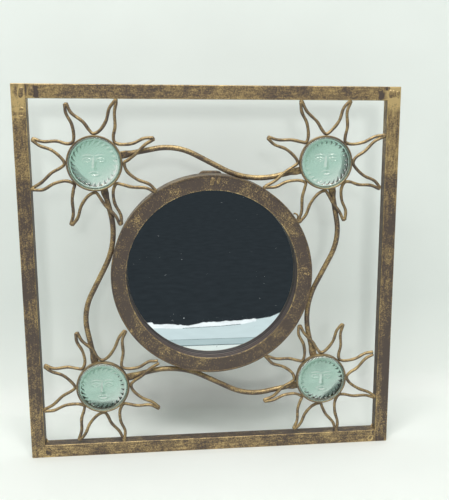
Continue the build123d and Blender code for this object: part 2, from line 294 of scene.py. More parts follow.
# Pressed soda-lime glass, pale aqua from its iron, fire polished after pressing: clear, with soft
# ripples from the mould. Slopes that look up and left are painted lighter, a painted highlight; those
# that look down and right are painted a deeper aqua, a painted shade; and on one side, set for each
# sun, the thick rim is painted deep green, a painted shade.
def pressed_glass(tree, place, corner, tint):
    ripple = add_node(tree, "ShaderNodeTexNoise", {
        "Vector": place, "Scale": 1 / (5 * MM), "Detail": 2.0})
    relief = add_node(tree, "ShaderNodeBump", {
        "Height": ripple.outputs["Fac"], "Strength": 0.25, "Distance": 0.3 * MM})
    angle, strength = PAINTED_RIM_SHADE_WAYS[corner]
    turn = math.radians(angle)
    normal = add_node(tree, "ShaderNodeNewGeometry").outputs["Normal"]
    painted_light_facing, facet = (
        add_node(tree, "ShaderNodeVectorMath", {0: normal, 1: way}, operation="DOT_PRODUCT").outputs["Value"]
        for way in (PAINTED_GLASS_LIGHT_WAY, (-math.cos(turn), 0, -math.sin(turn))))
    reach = seen_distance(tree, place, middle(f"bezel_{corner}"))
    shares = []
    for value, (start, end) in (
            (painted_light_facing, PAINTED_SHADE_SLOPES), (painted_light_facing, PAINTED_HIGHLIGHT_SLOPES), (facet, PAINTED_RIM_SHADE_SLOPES),
            (reach, RIM_INNER), (reach, RIM_OUTER)):
        share = add_node(tree, "ShaderNodeMapRange", {"Value": value, "From Min": start, "From Max": end},
                         interpolation_type="SMOOTHSTEP")
        shares.append(share.outputs[0])
    painted_shade_share, painted_highlight_share, painted_rim_shade, inner, outer = shares
    # The painted rim shade lies only on the thick rim, on its set side.
    for share in (inner, outer, strength):
        painted_rim_shade = add_node(tree, "ShaderNodeMath", {0: painted_rim_shade, 1: share}, operation="MULTIPLY").outputs[0]
    shade = linear(tint)
    # Painted shade where slopes look down and right, painted highlight where they look up and left, then the
    # painted rim shade.
    for share, code in ((painted_shade_share, "#93bcaa"), (painted_highlight_share, "#ffffff"), (painted_rim_shade, "#23332c")):
        shade = add_node(tree, "ShaderNodeMix", {0: share, 6: shade, 7: linear(code)},
                         data_type="RGBA").outputs[2]
    return add_node(tree, "ShaderNodeBsdfPrincipled", {
        "Base Color": shade, "Roughness": 0.06, "IOR": 1.5, "Transmission Weight": 0.9,
        "Normal": relief.outputs[0]})


# Mirror: silvered float glass, wiped but dusty, so it reflects sharply, with a few pale specks.
def silvered_glass(tree, place):
    dust = add_node(tree, "ShaderNodeTexNoise", {
        "Vector": place, "Scale": 1 / (2.6 * MM), "Detail": 1.0})
    smear = add_node(tree, "ShaderNodeTexNoise", {
        "Vector": place, "Scale": 1 / (30 * MM), "Detail": 3.0})
    total = add_node(tree, "ShaderNodeMath", {
        0: smear.outputs["Fac"], 1: 0.25, 2: dust.outputs["Fac"]}, operation="MULTIPLY_ADD")
    speck = add_node(tree, "ShaderNodeMapRange", {
        "Value": total.outputs[0], "From Min": 0.90, "From Max": 0.97, "To Max": 0.3})
    roughness = add_node(tree, "ShaderNodeMapRange", {
        "Value": speck.outputs[0], "To Min": 0.015, "To Max": 0.6})
    metallic = add_node(tree, "ShaderNodeMapRange", {
        "Value": speck.outputs[0], "To Min": 1.0, "To Max": 0.2})
    return add_node(tree, "ShaderNodeBsdfPrincipled", {
        "Base Color": linear("#d9e2e4"), "Metallic": metallic.outputs[0],
        "Roughness": roughness.outputs[0]})


# Tempered hardboard: pressed wood fibre, smooth brown face with short random fibres.
def hardboard(tree, place):
    fibre = add_node(tree, "ShaderNodeTexNoise", {
        "Vector": place, "Scale": 1 / (1.5 * MM), "Detail": 4.0, "Roughness": 0.7})
    shade = add_node(tree, "ShaderNodeMix", {
        0: fibre.outputs["Fac"], 6: linear("#4a3020"), 7: linear("#7b5536")}, data_type="RGBA")
    relief = add_node(tree, "ShaderNodeBump", {
        "Height": fibre.outputs["Fac"], "Strength": 0.3, "Distance": 0.1 * MM})
    return add_node(tree, "ShaderNodeBsdfPrincipled", {
        "Base Color": shade.outputs[2], "Roughness": 0.6, "Normal": relief.outputs[0]})


# Mild steel strip as rolled: dull grey with darker mill scale.
def mill_steel(tree, place):
    scale = add_node(tree, "ShaderNodeTexNoise", {
        "Vector": place, "Scale": 1 / (3 * MM), "Detail": 4.0, "Roughness": 0.6})
    shade = add_node(tree, "ShaderNodeMix", {
        0: scale.outputs["Fac"], 6: linear("#3d3b39"), 7: linear("#8d8a86")}, data_type="RGBA")
    roughness = add_node(tree, "ShaderNodeMapRange", {
        "Value": scale.outputs["Fac"], "To Min": 0.6, "To Max": 0.35})
    return add_node(tree, "ShaderNodeBsdfPrincipled", {
        "Base Color": shade.outputs[2], "Metallic": 0.85, "Roughness": roughness.outputs[0]})


# ---- Mesh helpers

def mesh_piece(name, points, faces, material, slot, merge=False):
    """A new smooth mesh piece. With a slot it rides with the mirror; without one it is the stage's."""
    mesh = bpy.data.meshes.new(name)
    shape = bmesh.new()
    corners = [shape.verts.new(tuple(point)) for point in points]
    for face in faces:
        shape.faces.new([corners[index] for index in face])
    if merge:
        bmesh.ops.remove_doubles(shape, verts=shape.verts, dist=0.002 * MM)
    if slot:
        bmesh.ops.recalc_face_normals(shape, faces=shape.faces)
    shape.to_mesh(mesh)
    shape.free()
    for polygon in mesh.polygons:
        polygon.use_smooth = True
    piece = bpy.data.objects.new(name, mesh)
    bpy.context.scene.collection.objects.link(piece)
    mesh.materials.append(material)
    if slot:
        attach(piece, BODY)
    return piece


def dress(nodes, material):
    """Give a material to nodes that are shown as they are."""
    for name in nodes:
        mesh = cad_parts[name].data
        mesh.materials.clear()
        mesh.materials.append(material)


# ---- Glass faces

# Places and widths on a face are shares of its radius, and heights are in millimetres.
FIELD = 4.0                             # thickness of the glass round the face
RIM_EDGE, RIM_RISE = 0.885, 1.5         # where the raised rim reaches its full height
EDGE_START, EDGE_DROP = 0.965, 0.8      # where the outer edge rounds off
TEETH, TOOTH_TWIST = 26, 3.0            # pressed rays round the face, leaning
VALLEY, TOOTH = 0.05, 0.16              # width of the rim's slope between two rays, and more on one
DISC_RISE, DISC_SLOPE = 0.6, (0.1, 0.68)        # the round swelling under the face

# Round rises of the face: places across and up, half width and half height, and height.
BUMPS = (
    (0.0, 0.0, 0.06, 0.2, 1.7),         # bridge of the nose
    (0.0, -0.16, 0.085, 0.05, 0.7),     # its tip
    (-0.36, -0.2, 0.16, 0.14, 0.3),     # cheeks
    (0.36, -0.2, 0.16, 0.14, 0.3),
    (0.0, -0.58, 0.14, 0.07, 0.3),      # chin
)
BROW_RISE, BROW_X, BROW_Y, BROW_CURVE = 0.4, 0.24, 0.31, 0.9
EYE_X, EYE_Y, EYE_WIDE, EYE_HIGH = 0.26, 0.13, 0.15, 0.075
LID_RISE, PUPIL_RISE = 0.4, 0.35
MOUTH_Y, MOUTH_WIDE, MOUTH_HIGH = -0.4, 0.2, 0.085
LIP_RISE, LIP_GROOVE = 0.5, 0.3

RINGS, SPOKES = 84, 10 * TEETH          # of mesh points on a face
TURNS = [2 * math.pi * spoke / SPOKES for spoke in range(SPOKES)]


def bump(x, y, wide, high):
    """A smooth rise round the point 0, 0, with the height 1 there."""
    return math.exp(-(x / wide) ** 2 - (y / high) ** 2)


def slope(value, start, end):
    """0 before the start, 1 after the end and smooth between."""
    share = min(1.0, max(0.0, (value - start) / (end - start)))
    return share * share * (3 - 2 * share)


def glass_height(x, y):
    """Thickness of the pressed glass in millimetres at this place in the unit circle."""
    radius = math.hypot(x, y)
    turn = TEETH * math.atan2(y, x) / (2 * math.pi) + TOOTH_TWIST * (radius - 0.75)
    tooth = 1 - abs(2 * (turn % 1.0) - 1)
    foot = RIM_EDGE - VALLEY - TOOTH * tooth ** 2
    height = FIELD + RIM_RISE * min(1.0, max(0.0, (radius - foot) / (RIM_EDGE - foot)))
    height -= EDGE_DROP * slope(radius, EDGE_START, 1.0) ** 2
    height += DISC_RISE * (1 - slope(radius, *DISC_SLOPE))
    for across, up, wide, high, rise in BUMPS:
        height += rise * bump(x - across, y - up, wide, high)
    for side in (-1, 1):
        if side * x > 0.04:
            arch = y - (BROW_Y - BROW_CURVE * (abs(x) - BROW_X) ** 2)
            height += BROW_RISE * math.exp(-(arch / 0.03) ** 2) * math.exp(-((abs(x) - 0.25) / 0.2) ** 4)
        eye = math.hypot((x - side * EYE_X) / EYE_WIDE, (y - EYE_Y) / EYE_HIGH)
        height += LID_RISE * math.exp(-((eye - 1) / 0.22) ** 2) + PUPIL_RISE * math.exp(-(eye / 0.4) ** 2)
    mouth = math.hypot(x / MOUTH_WIDE, (y - MOUTH_Y) / MOUTH_HIGH)
    height += LIP_RISE * math.exp(-((mouth - 0.85) / 0.28) ** 2)
    height -= LIP_GROOVE * math.exp(-((y - MOUTH_Y) / 0.02) ** 2) * math.exp(-(x / 0.17) ** 4)
    return height


def pressed_places():
    """Places in the unit circle, ring by ring, each with the glass's thickness."""
    places = []
    for ring in range(RINGS + 1):
        reach = math.sin(ring / RINGS * math.pi / 2) ** 0.9         # closer together at the rim
        for angle in TURNS:
            x, z = reach * math.cos(angle), reach * math.sin(angle)
            places.append((x, z, glass_height(x, z) * MM))
    return places


def glass_face(name, node, material, places):
    """A pressed-glass sun face in the place of its plain dome."""
    low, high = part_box(node)
    centre = (low + high) / 2
    radius = (high.x - low.x) / 2
    points = [(centre.x + radius * x, max(low.y, high.y - height), centre.z + radius * z)
              for x, z, height in places]
    bevel = 0.5 * MM
    for reach, y in ((radius, high.y - bevel), (radius - bevel, high.y)):
        points += [(centre.x + reach * math.cos(angle), y, centre.z + reach * math.sin(angle))
                   for angle in TURNS]
    faces = []
    for start in range(0, len(points) - SPOKES, SPOKES):
        for spoke in range(SPOKES):
            first, second = start + spoke, start + (spoke + 1) % SPOKES
            faces.append((first, second, second + SPOKES, first + SPOKES))
    faces.append(tuple(range(len(points) - SPOKES, len(points))))
    piece = mesh_piece(name, points, faces, material, "aqua_glass", merge=True)
    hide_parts(node)
    piece.visible_shadow = False


# ---- Bent wires and weld beads

# The regular flame, in millimetres: its tip's distance from the sun's centre, then how far its two
# wires lie from its centre line at shares of its height.
FLAME_REACH = 60.8
LEADING = ((0.15, 5.9), (0.45, 2.5), (0.77, 3.9))
TRAILING = ((0.14, -9.3), (0.40, -6.3), (0.73, -1.75))
TIP_HALF = 0.9              # half the distance between the two wires at the tip
OPEN_TIP = 1.6              # the same where the two ends aren't welded together
TIP_OFFSET = 0.3            # how far the leading wire's tip lies forward, and the other's back
OPEN_FLAMES = (("bottom_left", 1), ("bottom_right", 1))
FLAME_COUNT = 8
PITCH = 360 / FLAME_COUNT   # from one flame to the next, in degrees
VALLEY_SUNK = 0.1           # how far a wire's bend is sunk in its weld to the bezel

# How far a wire goes on past its last corners, and over which length and to which shares of its
# thickness its ends are rounded off.
WIRE_END, END_ROUND, END_SHARES = 0.9, 0.3, (0.6, 0.95)
SHORT_END, SHORT_WIRE = 0.2, ("bottom_right", 1)

# The bead on a tip: its half width, how far it reaches back and out, and the room within which it
# reaches the frame or the ring instead, and sinks into it.
TIP_BEAD, TIP_BACK, TIP_OVER = 2.05, 2.2, 1.6
TIP_ROOM, TIP_SUNK = 4.1, 0.3

# How each flame, bent by hand, strays from the regular one, in millimetres: its tip's shift outwards
# and aside, then the sideways shifts of its leading wire from root to tip, and of its trailing wire.
# The first flame points half a pitch below +X, and the others follow towards +Z.
FLAMES = {
    "top_left": (
        (-0.2, -3.1, -1.4, -0.2, -0.5, 1.1, 0.1, 0.5),
        (-2.8, 0, 0.2, 0.7, -0.4, 0.5, -0.1, -0.3),
        (-2.1, 2.2, -0.4, 0.3, -0.5, 2, 0.1, -0.4),
        (-3.2, 1.6, 0.4, 0.8, -0.5, 1.1, -0.3, 0.7),
        (-3, 0.7, 0.4, 0.5, -0.8, 2.2, 0.1, 0.3),
        (-0.4, -0.2, -1.2, 0.3, 0.2, 1.3, -0.5, -0.7),
        (-0.5, 0.4, -0.9, -0.2, -0.9, 0.1, -0.8, -0.2),
        (-0.6, -1.2, -0.9, -0.3, -0.7, 0.8, -0.3, -0.1),
    ),
    "top_right": (
        (-2.3, -2.1, 0.5, 1.2, 0.1, 1.9, 0.2, 0.2),
        (-0.1, 1.8, -0.1, 0.3, -1, 2.6, 1, 0.8),
        (-0.3, 1.1, 0.5, 0.6, -0.3, 1.5, 0.1, 0.8),
        (-0.5, 0.9, -0.1, 0.3, -0.7, 1.3, -0.2, 0.2),
        (-1.4, -0.3, 0.2, 0.5, -0.4, 0.6, -0.5, -0.2),
        (-0.5, -0.8, -0.2, 0.3, -0.5, 1, -0.1, -0.5),
        (-0.2, -1, -0.6, 0.1, -0.8, 0.6, -0.8, -0.4),
        (-2.8, -2.9, -0.6, 0.5, -0.1, 1.1, 0.1, -0.6),
    ),
    "bottom_right": (
        (0, 0.6, -0.3, 0.5, -1.1, 1.7, 0.2, 0.4),
        (-2.6, 2.1, 0.2, 0.8, -0.3, 1.8, -0.1, -0.1),
        (-2.2, 1.7, 0.2, 0.5, -0.5, 1.9, 0.2, 0.2),
        (-1.6, -0.2, -0.1, 0.5, -0.1, 1.4, 0.1, -0.1),
        (-1.4, -1.4, -0.9, 0.4, 0.1, 0.7, -0.6, -0.2),
        (-0.3, -1.8, -1.4, -0.6, -1.1, 1.1, -0.1, 0.5),
        (-2.2, -3.6, -1.4, -0.6, -1, 0, -1.1, -0.3),
        (-2.8, -5.2, -0.9, 0.2, -0.8, 0.3, -0.8, -0.2),
    ),
    "bottom_left": (
        (-2.7, -2.2, -0.3, 0.3, -0.9, 1, 0.1, 1),
        (-3.2, 0.6, 0.2, 0.8, 0.4, 1.9, 0.2, -0.8),
        (-1.6, 0.3, -0.1, 0.8, -0.9, 1.5, 0.3, 0.8),
        (-1.9, 0.4, -0.7, 0.2, -0.5, 1.9, -0.2, 0.3),
        (-2.5, -0.4, 0.3, 0.3, -0.9, 0.8, -0.4, 0.9),
        (-0.4, -1.1, 0.1, 0.5, -0.4, 1.2, -0.4, -0.4),
        (-1.9, -2, -0.5, -0.1, -1.2, 1, -0.6, -0.3),
        (-2.8, -4.2, -1.1, -0.1, -0.4, 1.3, -0.4, -0.2),
    ),
}


def smooth_path(corners, count=7):
    """Points on a smooth line through these corners, count steps from each to the next."""
    ends = [2 * corners[0] - corners[1]] + list(corners) + [2 * corners[-1] - corners[-2]]
    path = [corners[0]]
    for before, start, end, after in zip(ends, ends[1:], ends[2:], ends[3:]):
        out = start + (end - before) / 6
        back = end - (after - start) / 6
        path += interpolate_bezier(start, out, back, end, count + 1)[1:]
    return path


def straight(start, end, count):
    """Points that cut a straight line into count steps."""
    return [start.lerp(end, index / count) for index in range(count + 1)]


def lumpy(point, size, amount, seed):
    """A factor near 1 that wanders from place to place."""
    offset = Vector((seed * 7.31, seed * 3.17, seed * 5.77))
    return 1 + amount * noise.noise(point / size + offset)


def tube(path, radii, sides=12, depth=1.0, lumps=0.0, seed=0):
    """Points and faces of a closed bar along a path in the mirror's plane. depth is its thickness
    from front to back as a share of its width."""
    points, faces = [], []
    front = Vector((0, 1, 0))
    for index, (place, radius) in enumerate(zip(path, radii)):
        ahead = path[min(index + 1, len(path) - 1)] - path[max(index - 1, 0)]
        aside = ahead.cross(front).normalized()
        lift = aside.cross(ahead).normalized()
        for side in range(sides):
            angle = 2 * math.pi * side / sides
            spoke = aside * math.cos(angle) + lift * (depth * math.sin(angle))
            size = radius * lumpy(place + spoke * radius, 1.1 * MM, lumps, seed)
            points.append(place + spoke * size)
    for index in range(len(path) - 1):
        for side in range(sides):
            first, second = index * sides + side, index * sides + (side + 1) % sides
            faces.append((first, second, second + sides, first + sides))
    faces.append(tuple(range(sides)))
    faces.append(tuple(range(len(points) - sides, len(points))))
    return points, faces


def weld_piece(name, beads, material):
    """Several beads as one piece."""
    points, faces = [], []
    for more_points, more_faces in beads:
        start = len(points)
        points += more_points
        faces += [tuple(start + corner for corner in face) for face in more_faces]
    mesh_piece(name, points, faces, material, "bronze_paint")


def bead(path, half, seed, depth, lumps):
    """A lumpy weld bead along a path, thin at both ends; half is half its width."""
    shares = [abs(2 * index / (len(path) - 1) - 1) for index in range(len(path))]
    radii = [half * math.sqrt(max(0.03, 1 - share ** 4)) for share in shares]
    return tube(path, radii, depth=depth, lumps=lumps, seed=seed)


def in_sun(corner, angle, out, aside, y):
    """A place in a sun, by its distance out along a flame's angle and to the side of it."""
    centre = middle(f"bezel_{corner}")
    turn = math.radians(angle)
    x = out * math.cos(turn) - aside * math.sin(turn)
    z = out * math.sin(turn) + aside * math.cos(turn)
    return Vector((centre.x + x * MM, y, centre.z + z * MM))


def flame_angle(index):
    """A flame's direction in degrees from +X towards +Z."""
    return (index - 0.5) * PITCH


def flame_leg(corner, index, leading, y):
    """The corners of one of a flame's two wires, from its root to its tip."""
    shape = FLAMES[corner][index]
    root = (bezel_radius / MM + wire_radius / MM) * math.cos(math.radians(PITCH / 2))
    height = FLAME_REACH - root + shape[0]
    angle = flame_angle(index)
    marks, shifts, side = (LEADING, shape[2:5], 1) if leading else (TRAILING, shape[5:8], -1)
    places = [in_sun(corner, angle, root + share * height, aside + shift + shape[1] * share, y)
              for (share, aside), shift in zip(marks, shifts)]
    apart = OPEN_TIP if (corner, index) in OPEN_FLAMES else TIP_HALF
    end_y = y - side * TIP_OFFSET * MM
    places.append(in_sun(corner, angle, root + height, side * apart + shape[1], end_y))
    return places


def wire(corner, index, material):
    """One hand-bent wire: down a flame's edge, round on the bezel, and up the next flame's edge."""
    node = f"ray_{corner}_{index + 1}"
    y = middle(node).y
    following = (index + 1) % FLAME_COUNT
    before = flame_leg(corner, index, True, y)
    after = flame_leg(corner, following, False, y)
    valley = in_sun(corner, index * PITCH, (bezel_radius + wire_radius) / MM - VALLEY_SUNK, 0, y)
    corners = before[::-1] + [valley] + after
    start_way, end_way = (corners[0] - corners[1]).normalized(), (corners[-1] - corners[-2]).normalized()
    path = smooth_path(corners)
    radii = [wire_radius * lumpy(point, 5 * MM, 0.12, index) for point in path]
    over = SHORT_END if (corner, following) == SHORT_WIRE else WIRE_END
    start, end = path[0], path[-1]
    path = [start + start_way * (far * MM) for far in (WIRE_END, WIRE_END - END_ROUND)] + path
    path += [end + end_way * (far * MM) for far in (over - END_ROUND, over)]
    ends = [wire_radius * share for share in END_SHARES]
    points, faces = tube(path, ends + radii + ends[::-1], sides=14)
    piece = mesh_piece(f"wire_{corner}_{index + 1}", points, faces, material, "bronze_paint")
    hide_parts(node)


def room_ahead(place, heading):
    """How far a flame's tip is from the frame or the ring in its own direction."""
    rooms = []
    for where, way, centre in ((place.x, heading.x, 0), (place.z, heading.z, ring_centre.z)):
        away = where - centre
        if abs(way) > 0.3:          # otherwise the flame runs along this bar
            rooms.append((opening - abs(away)) / abs(way) if away * way > 0 else 1.0)
    flat = Vector((place.x, 0, place.z - ring_centre.z))
    if flat.dot(heading) < 0:
        rooms.append((flat.length - ring_radius) / (-flat.normalized().dot(heading)))
    return min(rooms)


def tip_welds(corner, material):
    """The weld beads that close a sun's flames and join them to the frame and the ring."""
    beads = []
    y = middle(f"ray_{corner}_1").y
    for index, shape in enumerate(FLAMES[corner]):
        if (corner, index) in OPEN_FLAMES:
            continue
        angle = flame_angle(index)
        tip = in_sun(corner, angle, FLAME_REACH + shape[0], shape[1], y)
        heading = in_sun(corner, angle, 1, 0, y) - in_sun(corner, angle, 0, 0, y)
        heading.normalize()
        room = room_ahead(tip, heading)
        over = room + TIP_SUNK * MM if room < TIP_ROOM * MM else TIP_OVER * MM
        path = straight(tip - heading * (TIP_BACK * MM), tip + heading * over, 7)
        beads.append(bead(path, TIP_BEAD * MM, seed=index + 10 * len(corner), depth=0.8, lumps=0.3))
    weld_piece(f"tip_welds_{corner}", beads, material)


# Patches in the paint of the frame's front, in millimetres: x from its middle, z from its foot, half
# width, half height and how much gold they add.
FRAME_MARKS = (
    (-169.5, 348, 2.4, 7, 0.7), (-160.5, 349, 2.6, 6, 0.7), (-165.0, 350, 1.2, 6, -1.2),
    (-173.5, 349, 1.4, 6, -0.9), (-156.0, 348, 2.6, 6, -1.1), (-171.0, 333, 7, 2.5, 0.6),
    (-171.0, 327, 6, 1.6, 0.5), (171.5, 349, 7.5, 7.5, 0.9), (171.0, 350, 1.2, 2.2, -1.8),
    (159.0, 348, 3.0, 5, -1.1), (165.0, 354, 2.6, 2, -1.4), (-172.5, 6.5, 5, 5, 0.15),
    (-172.0, 7.5, 2.6, 0.9, -1.2), (-161.5, 6, 3, 4, -1.0), (161.0, 4, 3, 3, 0.8),
    (164.0, 10, 2, 3, -0.8), (174.5, 80, 5, 68, -0.5), (-171, 345, 9, 12, 0.65),
    (171, 345, 9, 14, 0.6), (172, 7, 9, 9, -0.4),
)

# Weld metal left on the frame's front, in millimetres: the x and z of each bead's start and end, its
# half width, and how much of it stands out.
SEAM_BEADS = (
    (-169.6, 343, -168.4, 353, 2.3, 0.5), (-160.4, 345, -160.0, 353, 2.6, 0.55),
    (-171.5, 334, -167.0, 334, 1.6, 0.3), (-172.0, 327.5, -167.5, 327, 1.2, 0.3),
    (168.0, 345, 169.0, 353.5, 2.4, 0.45), (172.0, 345.5, 171.0, 353, 2.2, 0.4),
    (175.4, 345, 175.0, 352.5, 1.8, 0.4), (-165.5, 10.8, -157.0, 3.5, 1.3, 0.5),
    (-174.0, 5.0, -169.0, 10.5, 1.5, 0.4), (159.5, 5.5, 162.0, 3.5, 2.6, 0.45),
    (164.8, 3.5, 164.8, 11.5, 1.0, 0.4),
)
# The same on the ring's face: angle from +X towards +Z in degrees, the bead's inner and outer radii,
# half width and how much stands out.
RING_BEADS = ((90.5, 86.5, 94.5, 2.2, 0.7), (86.8, 87.5, 94.8, 1.6, 0.6), (214.0, 93.5, 95.2, 2.4, 0.7),
              (4.0, 86.0, 93.0, 1.2, 0.4), (0.5, 88.0, 94.0, 0.9, 0.4))
BEAD_SUNK = 0.35            # how far each bead's middle lies below the face it is on

# The weld fillet behind each bottom corner, in millimetres from the corner of the opening: towards
# the stile, from the frame's middle plane back, and up.
CORNER_FILLET = ((-3.4, 1.2, 0.0), (-1.2, 2.4, 0.0), (0.0, 3.4, 1.6), (0.0, 3.8, 3.4))
# A curl of wire left on the ring's edge: angle in degrees, radius, and distance back in millimetres.
CURL = ((33.0, 95.8, 0.0), (33.4, 98.6, -0.4), (35.0, 100.0, -0.8), (36.6, 98.8, -0.4), (36.4, 97.2, 0.0))


def seam_welds(material):
    """The beads at the frame's corners and the fillets behind the bottom corners."""
    beads = []
    y = front_y + BEAD_SUNK * MM
    for count, (x, z, end_x, end_z, half, proud) in enumerate(SEAM_BEADS):
        path = straight(Vector((x * MM, y, z * MM)), Vector((end_x * MM, y, end_z * MM)), 10)
        beads.append(bead(path, half * MM, seed=count, depth=(proud + BEAD_SUNK) / half, lumps=0.3))
    floor = tube_side - 0.4 * MM
    for side in (-1, 1):
        inner = side * (opening - 0.4 * MM)
        path = [Vector((inner + side * out * MM, back * MM, floor + up * MM))
                for out, back, up in CORNER_FILLET]
        beads.append(bead(path, 1.1 * MM, seed=side + 40, depth=0.9, lumps=0.3))
    weld_piece("seam_welds", beads, material)


def on_ring(angle, radius, y):
    """A place by its angle in degrees and its distance from the ring's centre in millimetres."""
    turn = math.radians(angle)
    return Vector((radius * math.cos(turn) * MM, y, ring_centre.z + radius * math.sin(turn) * MM))


def ring_welds(material):
    """The ring's own seam, the beads on its face and a curl of wire on its edge."""
    beads = []
    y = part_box("ring_face")[0].y + BEAD_SUNK * MM
    for count, (angle, inner, outer, half, proud) in enumerate(RING_BEADS):
        path = straight(on_ring(angle, inner, y), on_ring(angle - 1.0, outer, y), 9)
        beads.append(bead(path, half * MM, seed=count + 60, depth=(proud + BEAD_SUNK) / half, lumps=0.35))
    path = smooth_path([on_ring(angle, radius, back * MM) for angle, radius, back in CURL], 4)
    beads.append(bead(path, 0.8 * MM, seed=70, depth=1.0, lumps=0.2))
    weld_piece("ring_welds", beads, material)


# ---- Settings that a user would change

class PaintSizes(bpy.types.PropertyGroup):
    cover: bpy.props.FloatProperty(
        name="Gold cover", description="Share of the paint that the gold wax hides", default=0.0,
        min=-0.5, max=0.5)
    glass_tint: bpy.props.StringProperty(
        name="Glass tint", description="Colour of the pressed glass, as an sRGB hex code",
        default="#c6e5da")


class StageSizes(bpy.types.PropertyGroup):
    wall_distance: bpy.props.FloatProperty(
        name="Wall distance", description="From the frame's middle back to the wall",
        default=0.128, unit="LENGTH")
    cove_radius: bpy.props.FloatProperty(
        name="Cove radius", description="Rounding between the floor and the wall",
        default=0.03, unit="LENGTH")
    key_power: bpy.props.FloatProperty(
        name="Key light", description="Power of the soft light above the camera", default=3.6,
        unit="POWER")


class SUNMIRROR_OT_metal(bpy.types.Operator):
    """Paint the welded steel"""
    bl_idname = "sunmirror.metal"
    bl_label = "Painted metal"

    def execute(self, context):
        cover = context.scene.sun_paint.cover
        # front adds a painted highlight of gold on faces that look towards the light.
        coats = (
            (("stile", "end_cap"), gold_paint(
                "stiles", (1.8, 1.8, 14), 0.12 + cover, top=0.5, bottom=0.12, corner=0.22,
                sides=0.8, uneven=0.82, marks=FRAME_MARKS)),
            (("rail",), gold_paint(
                "rails", (9, 2, 2), 0.42 + cover, corner=0.15, sides=0.95, uneven=0.78,
                marks=FRAME_MARKS)),
            (("ring_face",), gold_paint(
                "ring", (1, 1, 1), -0.24 + cover, blotch=12, uneven=1.45,
                arrises=((82.4, 0.75, 0.7), (95.4, 0.5, -0.6)))),
            (("ring_band", "hanger"), gold_paint("band", (6, 6, 6), cover, front=0.3, uneven=0.5)),
            (("stem",), gold_paint("rods", (9, 9, 9), cover, front=0.85, uneven=0.8)),
            (("bezel",), gold_paint("bezels", (6, 6, 6), 0.08 + cover, front=0.7, uneven=0.4)),
            (("ring_lip",), new_material("dark grooved enamel", grooved_enamel)),
        )
        for starts, material in coats:
            dress([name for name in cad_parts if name.startswith(starts)], material)
        return {"FINISHED"}


class SUNMIRROR_OT_flames(bpy.types.Operator):
    """Bend the wires of the suns' flames and weld their tips, the frame and the ring"""
    bl_idname = "sunmirror.flames"
    bl_label = "Flames and welds"

    def execute(self, context):
        cover = context.scene.sun_paint.cover
        # front adds a painted highlight of gold on faces that look towards the light.
        wires = gold_paint("wires", (6, 6, 6), 0.14 + cover, front=0.7, uneven=0.65)
        welds = gold_paint("welds", (3, 3, 3), 0.45 + cover, blotch=5, front=0.3, uneven=0.7)
        for corner in CORNERS:
            for index in range(FLAME_COUNT):
                wire(corner, index, wires)
            tip_welds(corner, welds)
        seam_welds(welds)
        ring_welds(welds)
        return {"FINISHED"}


class SUNMIRROR_OT_glass(bpy.types.Operator):
    """Make the pressed-glass faces"""
    bl_idname = "sunmirror.glass"
    bl_label = "Glass faces"

    def execute(self, context):
        places, tint = pressed_places(), context.scene.sun_paint.glass_tint
        for corner in CORNERS:
            material = new_material(f"pressed aqua glass {corner}", pressed_glass, corner, tint)
            glass_face(f"sun_face_{corner}", f"glass_face_{corner}", material, places)
        return {"FINISHED"}


class SUNMIRROR_OT_mirror(bpy.types.Operator):
    """Dress the mirror, its board and its clips"""
    bl_idname = "sunmirror.mirror"
    bl_label = "Mirror and back"

    def execute(self, context):
        dress(["mirror_glass"], new_material("silvered float glass", silvered_glass))
        dress(["backing_board"], new_material("tempered hardboard", hardboard))
        dress(["backing_clips"], new_material("mill finish steel", mill_steel))
        return {"FINISHED"}


# ---- Stage

COVE_STEPS = 12
PAPER_HALF_WIDTH, PAPER_FRONT, PAPER_TOP = 2.5, -2.5, 2.6

# What the mirror shows beyond the floor, as outlines in metres: x, and y towards the wall.
TABLE_FAR = ((-1.2, -0.28), (-0.2, -0.435), (-0.0768, -0.453), (-0.0691, -0.4436), (-0.0357, -0.4388),
             (-0.0109, -0.43), (0.0149, -0.4444), (0.0406, -0.4466), (0.0755, -0.453), (0.102, -0.4572),
             (0.1263, -0.4689), (0.1471, -0.4942), (1.2, -0.66))
# Outlines of the table's glowing pale edge, a painted reflection: near and far.
GLOW_EDGE_NEAR = ((-0.2, -0.422), (-0.0606, -0.4193), (-0.0361, -0.4155), (-0.0114, -0.4158),
             (0.0135, -0.4178), (0.0386, -0.4211), (0.073, -0.4295), (0.0986, -0.4442))
GLOW_EDGE_FAR = ((-0.2, -0.437),) + tuple((x, y - 0.001) for x, y in TABLE_FAR[2:10])
EDGE_SHADOW = ((-0.02, -0.417), (0.0386, -0.4225), (0.073, -0.431), (0.073, -0.4275),
               (0.0386, -0.4195), (-0.02, -0.414))
TABLE_NEAR, TABLE_HALF = -0.3555, 0.3
BOARD = (-0.355, -0.325)            # the board below the table
BOARD_LINES = ((-0.3565, -0.3545), (-0.3275, -0.3235))
ROOM_HALF, ROOM_END, ROOM_TOP = 2.5, -3.0, 3.0

# Two small square lamps on the ceiling, for glints in the glass.
CEILING_LAMPS = ((-0.35, -0.5, 1.2), (0.25, -0.5, 1.2))
CEILING_LAMP = ((-0.03, 0), (0.03, 0), (0.03, 0.06), (-0.03, 0.06))

CAMERA_PLACE = (-0.04557, -0.70336, 0.33076)
CAMERA_TURN = (78.34102, -0.24990, -7.00606)            # degrees about x, y and z
CAMERA_LENS = 53.70
CAMERA_SHIFT = (-0.0618, 0.0348)


